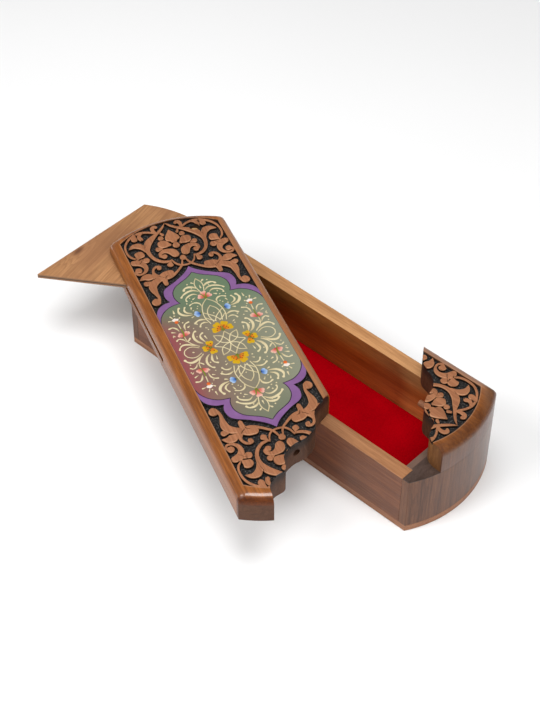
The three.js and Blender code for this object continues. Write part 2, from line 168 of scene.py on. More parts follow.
class Finish:
    """A material: fixed values go on the shader's own sockets, patterns are wired in."""

    def __init__(self, name, group, specular=0.3, **fixed):
        self.material = bpy.data.materials.new(name)
        self.material.use_nodes = True
        self.tree = self.material.node_tree
        self.shader = self.tree.nodes["Principled BSDF"]
        for socket, value in {"specular_ior_level": specular, **fixed}.items():
            self.shader.inputs[self.label(socket)].default_value = value
        self.use_place(self.place(group))

    @staticmethod
    def label(socket):
        return socket.replace("_", " ").title().replace("Ior", "IOR")

    def node(self, kind, settings, inputs, output=0):
        """The wire of one output of a new node. Its inputs are values or wires."""
        linked = {key: getattr(value, "socket", value) for key, value in inputs.items()}
        return Wire(self, add_node(self.tree, kind, settings, linked).outputs[output])

    def place(self, group):
        """Object coordinates turned back to how the piece lies on the closed box, in mm."""
        back = PLACES[group].inverted()
        return self.node("ShaderNodeMapping", {}, {
            "Vector": self.node("ShaderNodeTexCoord", {}, {}, "Object"),
            "Location": back.to_translation(),
            "Rotation": (0, 0, back.to_euler().z),
            "Scale": (1 / MM, 1 / MM, 1 / MM),
        })

    def use_place(self, spot):
        """Makes these the coordinates that the patterns follow."""
        self.spot = spot
        split = add_node(self.tree, "ShaderNodeSeparateXYZ", {}, {0: spot.socket})
        self.x, self.y, self.z = (Wire(self, socket) for socket in split.outputs)

    def stretched(self, vector, *factors):
        return self.node("ShaderNodeVectorMath", {"operation": "MULTIPLY"}, {0: vector, 1: factors})

    def noise(self, vector, scale, detail=3.0, roughness=0.5, distortion=0.0):
        return self.node("ShaderNodeTexNoise", {}, {
            "Vector": vector, "Scale": scale, "Detail": detail,
            "Roughness": roughness, "Distortion": distortion,
        })

    def ramp(self, value, stops):
        made = self.node("ShaderNodeValToRGB", {}, {0: value})
        elements = made.socket.node.color_ramp.elements
        while len(elements) < len(stops):
            elements.new(0.5)
        for element, (position, colour) in zip(elements, stops):
            element.position = position
            element.color = colour
        return made

    def mix(self, factor, first, second, blend="MIX"):
        settings = {"data_type": "RGBA", "blend_type": blend}
        return self.node("ShaderNodeMix", settings, {0: factor, 6: first, 7: second}, 2)

    def grain(self, tones, stretch=(0.05, 1, 1), figure=0.16, pores=0.45, rings=0.3, lift=0.0):
        """Wood seen close: growth rings, fine fibres and dark pores. Returns colour and height."""
        dark, middle, light = tones
        along = self.stretched(self.spot, *stretch)
        broad = self.noise(along, figure, 3.0, 0.5, 0.6) + lift
        band = self.noise(along, 0.75, 2.0, 0.6)
        fibre = self.noise(along, 2.4, 4.0, 0.65)
        ring = (broad * 11).fraction()
        late = ring.step(0.35, 0.9) * ring.step(1.0, 0.93)
        pore = self.noise(self.stretched(along, 0.6, 1, 1), 6.0, 2.0, 0.5).step(0.60, 0.72)
        blend = broad * 0.35 + band * 0.35 + fibre * 0.3
        streaks = self.ramp(blend, [(0.4, dark), (0.5, middle), (0.6, light)])
        ringed = self.mix(late * rings, streaks, darker(dark, 0.6))
        return self.mix(pore * pores, ringed, darker(dark, 0.45)), fibre * 0.6 - pore

    def feed(self, **wires):
        """Wires in what varies, and gives the material."""
        for socket, wire in wires.items():
            self.tree.links.new(wire.socket, self.shader.inputs[self.label(socket)])
        return self.material

    def relief(self, height, strength, distance, **wires):
        """The same with a fine relief, its distance in mm."""
        bump = {"Strength": strength, "Distance": distance * MM, "Height": height}
        return self.feed(normal=self.node("ShaderNodeBump", {}, bump), **wires)


# Finishes of the pieces

def by_side(wood, is_inside, outside, inside, top):
    """Colour of a wall or an end block, from those of its outside, inside and top."""
    is_top = wood.z.step(BODY_TOP - 0.35, BODY_TOP - 0.1)
    return wood.mix(is_top, wood.mix(is_inside, outside, inside), top)


def wall_finish():
    """Long walls: varnished walnut with a darker patch that is partly heartwood and partly painted shade, paler
    bare tops, and a red-brown inside with painted shade and a painted shadow band.
    """
    wood = Finish("walnut_walls", "box", coat_roughness=0.22)
    cloud = wood.noise(wood.stretched(wood.spot, 0.15, 1, 1), 0.12, 2.0)
    outside, height = wood.grain(shades(112, 64, 36, 0.3))
    # Darker patch on the outside: partly walnut heartwood, partly painted shade where the lid keeps the sheen off;
    # the coat is left off there as well.
    along = wood.x + cloud * 6 - 3
    in_heart_and_shade = along.step(16, 40) * along.step(78, 56)
    heart_and_shade_tint = wood.mix(along.step(48, 60), (0.84, 0.68, 0.5, 1), (0.97, 0.84, 0.7, 1))
    outside = wood.mix(in_heart_and_shade, outside, heart_and_shade_tint, "MULTIPLY")
    inside, _ = wood.grain(shades(186, 116, 70, 0.25), rings=0.2)
    # Painted shade along the inside: a dark tint over most of the wall, lifting towards the right end.
    painted_shade_along = wood.ramp((wood.x + cloud * 20) * 0.01 + 0.3, [
        (0.0, (0.6, 0.42, 0.2, 1)), (0.4, (0.66, 0.42, 0.2, 1)),
        (0.9, (0.56, 0.33, 0.2, 1)), (1.0, (0.8, 0.66, 0.5, 1)),
    ])
    # Painted shadow band across the inside: lighter low down, darker at middle height, lighter again near the top.
    painted_shadow_band = wood.ramp((wood.z + cloud * 8) * 0.02, [
        (0.36, (1.28, 1.42, 1.4, 1)), (0.44, (1.0, 1.0, 1.0, 1)), (0.54, (0.72, 0.6, 0.42, 1)),
        (0.66, (0.74, 0.7, 0.6, 1)), (0.8, (0.85, 1.3, 1.7, 1)),
    ])
    inside = wood.mix(1.0, wood.mix(1.0, inside, painted_shade_along, "MULTIPLY"), painted_shadow_band, "MULTIPLY")
    back_top, _ = wood.grain(shades(178, 129, 84), rings=0.2)
    front_top, _ = wood.grain(shades(150, 103, 68), rings=0.2)
    top = wood.mix(wood.y.step(-1, 1), front_top, back_top)
    middle = HALF_WIDTH - WALL / 2
    is_inside = wood.y.abs().step(middle + 0.1, middle - 0.1)
    return wood.relief(height, 0.25, 0.08, base_color=by_side(wood, is_inside, outside, inside, top),
                       coat_weight=(1 - in_heart_and_shade) * 0.1, roughness=in_heart_and_shade * 0.2 + 0.38)


def block_finish():
    """Curved ends: upright grain outside, the same red-brown inside, a pale left top and a dark right top with
    painted shadow.
    """
    wood = Finish("walnut_end_blocks", "box", specular=0.38, roughness=0.36, coat_roughness=0.22)
    upright = (1, 1, 0.06)
    outside, height = wood.grain(shades(96, 57, 32, 0.4), upright, pores=0.6)
    inside, _ = wood.grain(shades(118, 46, 16, 0.3), upright)
    pale_top, _ = wood.grain(shades(150, 104, 70), (1, 0.1, 1))
    end_grain, _ = wood.grain(shades(66, 50, 43, 0.3), (1, 0.3, 1))
    # Right block's top: dark end grain, lighter in the strip by the felt; the dark beyond x 109.6 is partly
    # painted shadow of the fixed lid end.
    shadowed_end_top = wood.mix(wood.x.step(109.6, 109.1) * 0.35, end_grain, paint(140, 108, 92))
    top = wood.mix(wood.x.step(0, 1), pale_top, shadowed_end_top)
    is_inside = wood.x.abs().step(BLOCK_FACE + 0.3, BLOCK_FACE + 0.1)
    return wood.relief(height, 0.25, 0.08, base_color=by_side(wood, is_inside, outside, inside, top),
                       coat_weight=(wood.y * 0.005 + 0.2).clamp())


def bare_wood(name, group, tones, stretch=(0.2, 1, 1), figure=0.5, distance=0.05,
              roughness=0.6, specular=0.3):
    """Wood without varnish, for the board and the small round pieces."""
    wood = Finish(name, group, specular, roughness=roughness)
    colour, height = wood.grain(tones, stretch, figure)
    return wood.relief(height, 0.3, distance, base_color=colour)


def ends_past(wood, inset):
    """How far a point lies outside the bulging ends, drawn in by inset, in mm."""
    bulge = END_X - HALF_LENGTH
    radius = (HALF_WIDTH ** 2 + bulge ** 2) / (2 * bulge)
    x = wood.x.abs() - (END_X - radius)
    return (x * x + wood.y * wood.y) ** 0.5 - (radius - inset)


def field_past(wood):
    """How far a point lies outside the rounder ends of the carved field, in mm."""
    right = (wood.x - FIELD_CENTRES[0]).at_least(0)
    left = (wood.x * -1 - FIELD_CENTRES[1]).at_least(0)
    beyond = right + left
    return (beyond * beyond + wood.y * wood.y) ** 0.5 - FIELD_RADIUS


def lid_finish(group, name):
    """The lid plank: lacquered rim with painted sheen, highlight and shade, black stippled ground in the carving,
    and sawn faces painted darker towards the top as shade.
    """
    wood = Finish(name, group, coat_roughness=0.06, coat_ior=1.7)
    x, y = wood.x, wood.y
    depth = LID_TOP - wood.z
    lacquered, height = wood.grain(shades(136, 79, 33, 0.34), figure=0.1)
    sawn, _ = wood.grain(shades(84, 53, 34, 0.3), (0.4, 0.4, 0.12))
    # Sawn faces darker towards the top: painted shade.
    sawn_shaded = wood.mix(depth.step(9.5, 4) * 0.8, sawn, paint(34, 25, 20))
    stipple = wood.node("ShaderNodeTexVoronoi", {}, {"Vector": wood.spot, "Scale": 1.15})
    black = wood.ramp(wood.noise(wood.spot, 0.95, 2.0, 0.7), [
        (0.36, paint(7, 6, 6)), (0.55, paint(26, 24, 23)), (0.7, paint(88, 83, 80)),
    ])
    x_past = ends_past(wood, EDGE_ROUND)
    y_past = y.abs() - (HALF_WIDTH - EDGE_ROUND)
    side_past = x_past.at_least(y_past).at_least(0)
    z_past = (EDGE_ROUND - depth).at_least(0)
    skin = (side_past * side_past + z_past * z_past) ** 0.5 - EDGE_ROUND
    bare = skin.step(-0.75, -0.95)
    beyond = field_past(wood).at_least(y.abs() - FIELD_EDGE)
    in_field = beyond.step(0.1, -0.1) * depth.step(CARVING_DEPTH + 0.15, CARVING_DEPTH + 0.05)
    # Painted highlight along the rim's inner edge, and painted sheen on the back rim of the lid and on the fixed
    # end's rim: both lighten the lacquer towards a pale tone.
    painted_edge_highlight = beyond.step(0.8, 0.35) * depth.step(0.3, 0.15)
    rim_side = y.step(33.5, 34.5) if group == "lid" else (y + x_past * 2).step(20, 33)
    pale = rim_side * depth.step(2.5, 0.5) * 0.3
    painted_light = wood.mix((pale + painted_edge_highlight * 0.4).clamp(), lacquered, paint(172, 132, 104))
    side_sheen = (y_past * 0.025).clamp()
    if group == "box":
        # Painted sheen on the fixed end's back rim.
        back_rim_sheen = y.step(33, 34) * x_past.step(0, -6)
        painted_light = wood.mix(back_rim_sheen * 0.45, painted_light, paint(158, 132, 116))
        # Painted shade where the rim turns down over the rounded end.
        round_shade = x_past.step(-4.5, 2.2) * 0.85
        painted_light = wood.mix(round_shade, painted_light, (0.45, 0.42, 0.36, 1), "MULTIPLY")
        high = depth.step(6.5, 3.5)
        # On the fixed end, the front part of the sawn face takes a lighter, lit copy of the wood: painted light.
        lit, _ = wood.grain(shades(122, 80, 42, 0.34), (1, 1, 0.1))
        sawn_shaded = wood.mix(y.step(-12, -18), sawn_shaded, lit)
        upright, _ = wood.grain(shades(96, 56, 32, 0.3), (1, 1, 0.06))
        colour = wood.mix(bare, wood.mix(high, upright, painted_light), sawn_shaded)
        sheen = (x_past * 0.045 + 0.1).clamp() * (1 - high * 0.75) + side_sheen * (1 - high * 0.5)
    else:
        near = x.step(60, 90)
        # Painted shade on the near end's round-over, below its highlight.
        round_shade = x_past.step(EDGE_ROUND - 3.0, EDGE_ROUND - 1.8) * near
        colour = wood.mix(round_shade, painted_light, (0.42, 0.3, 0.12, 1), "MULTIPLY")
        raw, _ = wood.grain(shades(84, 52, 33, 0.2), (1, 0.25, 0.6), 0.1)
        at_face = x.step(100, 101) * x_past.step(EDGE_ROUND - 0.5, EDGE_ROUND - 0.3)
        unlacquered = at_face * depth.step(EDGE_ROUND - 0.15, EDGE_ROUND + 0.15)
        colour = wood.mix(unlacquered, wood.mix(bare, colour, sawn_shaded), raw)
        bare = (bare + unlacquered).clamp()
        sheen = (x_past * 0.3 + 0.1).clamp() * depth.step(4.5, 2.5) + side_sheen
        sheen = sheen * (1 - x_past.step(2.3, 3.1) * near)
    return wood.relief(height * (1 - in_field) * 0.3 + stipple * in_field * 2.2, 0.6, 0.25,
                       base_color=wood.mix(in_field, colour, black),
                       roughness=in_field * 0.22 + bare * 0.25 + 0.36,
                       coat_weight=((1 - in_field) * (1 - bare) * sheen.clamp()).clamp())


def relief_finish(group, name):
    """Carved vines: copper-brown tops, edges lighter as a painted highlight, dark where they go down to the
    ground.
    """
    wood = Finish(name, group, roughness=0.48)
    depth = LID_TOP - wood.z
    colour, height = wood.grain(shades(150, 98, 66, 0.2), figure=0.1)
    # Painted highlight: a lighter band along the edges of the tops.
    painted_light = depth.step(0.7, 0.45) * depth.step(0.06, 0.16)
    edged = wood.mix(painted_light * 0.6, colour, paint(188, 136, 98))
    colour = wood.mix(depth.step(0.95, 0.6), paint(18, 12, 9), edged)
    return wood.relief(height, 0.25, 0.06, base_color=colour)


def leaf_finish():
    """Thin leaf: lighter walnut with one knot, and two plies with a dark glue line at its edge."""
    wood = Finish("leaf_walnut", "leaf", specular=0.35, roughness=0.45)
    lean = math.radians(-11)
    wood.use_place(wood.node("ShaderNodeMapping", {}, {"Vector": wood.spot, "Rotation": (0, 0, lean)}))
    knot = Matrix.Rotation(lean, 3, "Z") @ Vector((-53, -36.7, 0))
    from_knot = (((wood.x - knot.x) * 0.4) ** 2 + (wood.y - knot.y) ** 2) ** 0.5
    swirl = from_knot.step(9, 0) * 0.25
    colour, height = wood.grain(shades(166, 120, 80, 0.2), (0.05, 1, 1), 0.07, 0.5, 0.4, swirl)
    cloud = wood.noise(wood.stretched(wood.spot, 0.5, 1, 1), 0.05)
    clouded = wood.mix(cloud.step(0.42, 0.66) * 0.6, colour, paint(136, 92, 62))
    knotted = wood.mix(from_knot.step(3.0, 0.4) * 0.75, clouded, paint(84, 46, 30))
    depth = LEAF_TOP - wood.z
    glue = (depth - 1.5).abs().step(0.45, 0.2)
    ply = wood.mix(glue, paint(134, 96, 64), paint(52, 32, 22))
    return wood.relief(height, 0.3, 0.08, base_color=wood.mix(depth.step(0.25, 0.12), ply, knotted))


def felt_finish():
    """Red felt, a little darker towards the fixed end."""
    felt = Finish("red_felt", "box", specular=0.0, roughness=1.0)
    fibres = felt.noise(felt.spot, 1.1, 6.0, 0.75, 0.6)
    mottle = felt.noise(felt.spot, 0.05)
    reds = [(0.3, paint(138, 0, 9)), (0.6, paint(172, 0, 13))]
    colour = felt.ramp(fibres * 0.7 + mottle * 0.3, reds)
    shaded = felt.mix(felt.x.step(75, 104) * 0.2, colour, paint(30, 0, 2))
    return felt.relief(fibres, 0.5, 0.3, base_color=shaded)


def steel_finish():
    steel = Finish("screw_steel", "box", specular=0.5, metallic=1.0, base_color=paint(160, 160, 164))
    turning = steel.noise(steel.stretched(steel.spot, 1, 1, 8), 2.0, 3.0, 0.6)
    return steel.relief(turning, 0.1, 0.02, roughness=turning * 0.3 + 0.22)


def border_finish():
    """Purple paint, a little uneven."""
    purple = Finish("purple_paint", "lid", roughness=0.4)
    cloud = purple.noise(purple.spot, 0.12, 4.0, 0.6)
    colour = purple.ramp(cloud, [(0.3, paint(110, 74, 120)), (0.7, paint(124, 87, 135))])
    return purple.relief(purple.noise(purple.spot, 1.4, 2.0), 0.1, 0.05, base_color=colour)


def field_finish():
    """Painted ground: grey-green, greener at the ends, grey-brown and mauve at the front."""
    ground = Finish("green_grey_paint", "lid", roughness=0.4)
    drift = ground.noise(ground.spot, 0.05) * 8 - 4
    tones = ground.ramp((ground.y + drift) * 0.015 + 0.5, [
        (0.02, paint(130, 68, 70)), (0.12, paint(118, 86, 78)), (0.3, paint(116, 101, 87)),
        (0.45, paint(119, 110, 93)), (0.7, paint(117, 117, 97)), (0.95, paint(123, 125, 107)),
    ])
    along = ground.x + drift
    left_green = ground.mix(along.step(-14, -44) * 0.85, tones, paint(87, 109, 84))
    right_green = ground.mix(along.step(40, 66) * 0.7, left_green, paint(94, 102, 84))
    return ground.relief(ground.noise(ground.spot, 1.4, 2.0), 0.1, 0.05, base_color=right_green)


def outline_finish():
    dark = Finish("dark_outline_paint", "lid", roughness=0.45)
    tones = [(0.3, paint(34, 24, 36)), (0.7, paint(52, 38, 54))]
    return dark.feed(base_color=dark.ramp(dark.noise(dark.spot, 0.5, 2.0), tones))


def brush_finish(name, stops):
    """Paint laid on with one brush stroke, changing colour along it."""
    brushed = Finish(name, "lid", roughness=0.45)
    along = brushed.node("ShaderNodeAttribute", {"attribute_name": "along"}, {}, "Fac")
    uneven = brushed.noise(brushed.spot, 1.2, 3.0, 0.6) * 0.3 - 0.15
    tones = [(share, paint(*colour)) for share, colour in stops]
    return brushed.feed(base_color=brushed.ramp(along + uneven, tones))


# Geometry helpers

def new_object(name, data):
    made = bpy.data.objects.new(name, data)
    bpy.context.scene.collection.objects.link(made)
    return made


def join_body(piece, node_or_body):
    """Puts a finished piece on its body."""
    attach(piece, BODY_OF.get(node_or_body, node_or_body))
    return piece


def new_piece(name, mesh, material):
    mesh.materials.clear()
    mesh.materials.append(material)
    return new_object(name, mesh)


def smooth_shaded(work, degrees):
    """Smooth faces, with every edge sharper than the angle left crisp."""
    for face in work.faces:
        face.smooth = True
    for line in work.edges:
        line.smooth = len(line.link_faces) == 2 and line.calc_face_angle(0) < math.radians(degrees)


def dressed(node, material, edge=0.25):
    """A CAD piece with smooth rounds and slightly broken edges, in the CAD piece's place."""
    name = node + "_finished"
    mesh = frame["nodes"][node].data.copy()
    mesh.name = name
    work = bmesh.new()
    work.from_mesh(mesh)
    bmesh.ops.remove_doubles(work, verts=work.verts, dist=1e-6)
    bmesh.ops.dissolve_limit(work, angle_limit=math.radians(0.5), verts=work.verts, edges=work.edges)
    smooth_shaded(work, 32)
    work.to_mesh(mesh)
    work.free()
    piece = new_piece(name, mesh, material)
    if edge:
        bevel = piece.modifiers.new("broken_edges", "BEVEL")
        bevel.width = edge * MM
        bevel.segments = 2
        bevel.limit_method = "ANGLE"
        bevel.angle_limit = math.radians(40)
        bevel.harden_normals = True
        piece = plain(piece)
    join_body(piece, node)
    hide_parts(node)
    return piece


def plain(piece):
    """A plain mesh in the piece's stead, with its modifiers worked in."""
    bpy.context.view_layer.update()
    evaluated = piece.evaluated_get(bpy.context.evaluated_depsgraph_get())
    made = bpy.data.meshes.new_from_object(evaluated)
    name = piece.name
    bpy.data.objects.remove(piece)
    return new_object(name, made)


def between(a, b, c, d, t):
    """Points of a smooth curve from b to c, at the shares t of the way."""
    return 0.5 * (2 * b + (c - a) * t + (2 * a - 5 * b + 4 * c - d) * t ** 2
                  + (3 * b - a - 3 * c + d) * t ** 3)


def flow(knots, step):
    """A smooth path through (x, y, half width) knots. An end with a width is made round."""
    rows = np.array(knots, float)
    padded = np.vstack([2 * rows[0] - rows[1], rows, 2 * rows[-1] - rows[-2]])
    path = []
    for a, b, c, d in zip(padded, padded[1:], padded[2:], padded[3:]):
        count = max(2, int(np.hypot(*(c - b)[:2]) / step))
        t = (np.arange(count) / count)[:, None]
        path.append(between(a, b, c, d, t))
    path = np.vstack([*path, rows[-1:]])
    path[:, 2] = np.maximum(path[:, 2], 0.02)
    return np.vstack([round_end(path[0], path[1], rows[0, 2])[::-1], path,
                      round_end(path[-1], path[-2], rows[-1, 2])])


def round_end(end, before, width):
    if width < 0.05:
        return np.empty((0, 3))
    ahead = (end - before)[:2] / max(np.hypot(*(end - before)[:2]), 1e-6)
    turns = np.radians([22, 42, 60, 75, 88])
    return np.array([[*(end[:2] + ahead * width * math.sin(t)), width * math.cos(t)] for t in turns])


def flipped(strokes):
    return [[(x, -y, width) for x, y, width in stroke] for stroke in strokes]


def ball(x, y, radius):
    return [(x - 0.01, y, radius), (x + 0.01, y, radius)]


def sweep_tree():
    """Geometry nodes: a rounded strip of the path's own width, each a hair above the one before."""
    tree = bpy.data.node_groups.new("carved_strip", "GeometryNodeTree")
    face = tree.interface
    face.new_socket("Paths", in_out="INPUT", socket_type="NodeSocketGeometry")
    for label in ("Base", "Rise", "Shoulder", "Apart"):
        face.new_socket(label, in_out="INPUT", socket_type="NodeSocketFloat")
    face.new_socket("Corner Steps", in_out="INPUT", socket_type="NodeSocketInt")
    face.new_socket("Finish", in_out="INPUT", socket_type="NodeSocketMaterial")
    face.new_socket("Strips", in_out="OUTPUT", socket_type="NodeSocketGeometry")

    def node(*about):
        return add_node(tree, *about).outputs

    def maths(operation, *values):
        return node("ShaderNodeMath", {"operation": operation}, dict(enumerate(values)))[0]

    given = node("NodeGroupInput")
    square = node("GeometryNodeCurvePrimitiveQuadrilateral", {}, {"Width": 2.0, "Height": 2.0})
    profile = node("GeometryNodeFilletCurve", {"mode": "POLY"}, {
        "Curve": square[0], "Count": given["Corner Steps"], "Radius": given["Shoulder"],
    })
    kept = tree.nodes.new("GeometryNodeCaptureAttribute")
    kept.capture_items.new("VECTOR", "Section")
    tree.links.new(profile[0], kept.inputs["Geometry"])
    tree.links.new(node("GeometryNodeInputPosition")[0], kept.inputs["Section"])
    radius = node("GeometryNodeInputRadius")
    progress = node("GeometryNodeSplineParameter")
    marked = node("GeometryNodeStoreNamedAttribute", {"data_type": "FLOAT", "domain": "POINT"}, {
        "Geometry": given["Paths"], "Name": "along", "Value": progress[0],
    })
    numbered = node("GeometryNodeStoreNamedAttribute", {"data_type": "FLOAT", "domain": "CURVE"}, {
        "Geometry": marked[0], "Name": "stroke", "Value": node("GeometryNodeInputIndex")[0],
    })
    swept = node("GeometryNodeCurveToMesh", {}, {
        "Curve": numbered[0], "Profile Curve": kept.outputs["Geometry"],
        "Scale": radius[0], "Fill Caps": True,
    })
    section = node("ShaderNodeSeparateXYZ", {}, {0: kept.outputs["Section"]})
    stroke = node("GeometryNodeInputNamedAttribute", {"data_type": "FLOAT"}, {"Name": "stroke"})
    floor = maths("MULTIPLY_ADD", stroke[0], given["Apart"], given["Base"])
    lifted = maths("MULTIPLY_ADD", maths("MAXIMUM", section[1], -0.15), given["Rise"], floor)
    here = node("ShaderNodeSeparateXYZ", {}, {0: node("GeometryNodeInputPosition")[0]})
    there = node("ShaderNodeCombineXYZ", {}, {0: here[0], 1: here[1], 2: lifted})
    placed = node("GeometryNodeSetPosition", {}, {"Geometry": swept[0], "Position": there[0]})
    finished = node("GeometryNodeSetMaterial", {}, {"Geometry": placed[0], "Material": given["Finish"]})
    add_node(tree, "NodeGroupOutput", {}, {0: finished[0]})
    return tree


SWEEP = sweep_tree()


def strips(name, strokes, base, rise, material, group, shoulder=0.4, steps=3, step=0.7, apart=0.001):
    """Strips along all the strokes, as one plain mesh in the group's place."""
    curve = bpy.data.curves.new(name, "CURVE")
    curve.dimensions = "3D"
    curve.twist_mode = "Z_UP"
    for stroke in strokes:
        path = flow(stroke, step)
        spline = curve.splines.new("POLY")
        spline.points.add(len(path) - 1)
        for point, (x, y, width) in zip(spline.points, path):
            point.co = (x, y, 0, 1)
            point.radius = width
    holder = new_object(name, curve)
    sweep = holder.modifiers.new("carved_strip", "NODES")
    sweep.node_group = SWEEP
    values = {"Base": base, "Rise": rise, "Shoulder": shoulder, "Apart": apart, "Corner Steps": steps,
              "Finish": material}
    for item in SWEEP.interface.items_tree:
        if item.in_out == "INPUT" and item.name in values:
            sweep[item.identifier] = values[item.name]
    piece = plain(holder)
    work = bmesh.new()
    work.from_mesh(piece.data)
    bmesh.ops.recalc_face_normals(work, faces=work.faces)
    for side in work.faces:
        side.smooth = True
    work.to_mesh(piece.data)
    work.free()
    piece.data.transform(PLACES[group])
    return piece


def slab(name, outline, low, high, material, group):
    """A flat plate with an outline given in plan."""
    work = bmesh.new()
    bottom = [work.verts.new((x, y, low)) for x, y in outline]
    top = [work.verts.new((x, y, high)) for x, y in outline]
    work.faces.new(bottom)
    work.faces.new(top)
    for side in zip(bottom, bottom[1:] + bottom[:1], top[1:] + top[:1], top):
        work.faces.new(side)
    bmesh.ops.recalc_face_normals(work, faces=work.faces)
    mesh = bpy.data.meshes.new(name)
    work.to_mesh(mesh)
    work.free()
    mesh.transform(PLACES[group])
    return new_piece(name, mesh, material)


# The saw cut, to trim what crosses it

def spline_points(controls, per_span=6):
    """The same curve through the control points as the model's saw cut."""
    rows = np.array(controls, float)
    padded = np.vstack([rows[:1], rows, rows[-1:]])
    spans = zip(padded, padded[1:], padded[2:], padded[3:])
    line = [between(*span, t) for span in spans for t in np.arange(per_span) / per_span]
    return np.array([*line, rows[-1]])


def cut_side(side):
    """A tall prism over everything on one side of the saw cut, in rest-box millimetres."""
    line = spline_points([(HALF_LENGTH - x, y) for x, y in CUT_POINTS])
    along = np.gradient(line, axis=0)
    across = np.stack([-along[:, 1], along[:, 0]], 1) / np.hypot(*along.T)[:, None]
    line = line + across * (CUT_GAP / 2 * (1 if side == "fixed" else -1))
    first, last = line[0], line[-1]
    if side == "fixed":
        corners = [(FAR_X, last[1]), (FAR_X, first[1])]
    else:
        corners = [(last[0], -FAR_Y), (-FAR_X, -FAR_Y), (-FAR_X, FAR_Y), (first[0], FAR_Y)]
    return [tuple(p) for p in line] + corners


def carved_by(piece, cutter, operation="INTERSECT"):
    """Cuts a piece by another one, which also joins what overlaps in it."""
    cut = piece.modifiers.new("saw", "BOOLEAN")
    cut.operation = operation
    cut.solver = "MANIFOLD"
    cut.object = cutter
    piece = plain(piece)
    bpy.data.objects.remove(cutter)
    return piece


def one_side(side, group, material):
    """The room on one side of the saw cut, or above the whole lid."""
    everything = [(-FAR_X, -FAR_Y), (FAR_X, -FAR_Y), (FAR_X, FAR_Y), (-FAR_X, FAR_Y)]
    outline = everything if side == "whole" else cut_side(side)
    return slab("saw", outline, LID_TOP - 20, LID_TOP + 20, material, group)


# Carved ornament: one quarter of the scrollwork, drawn on the left end's back half.
# Each stroke is a list of x, y and half width. An end of no width is a point.

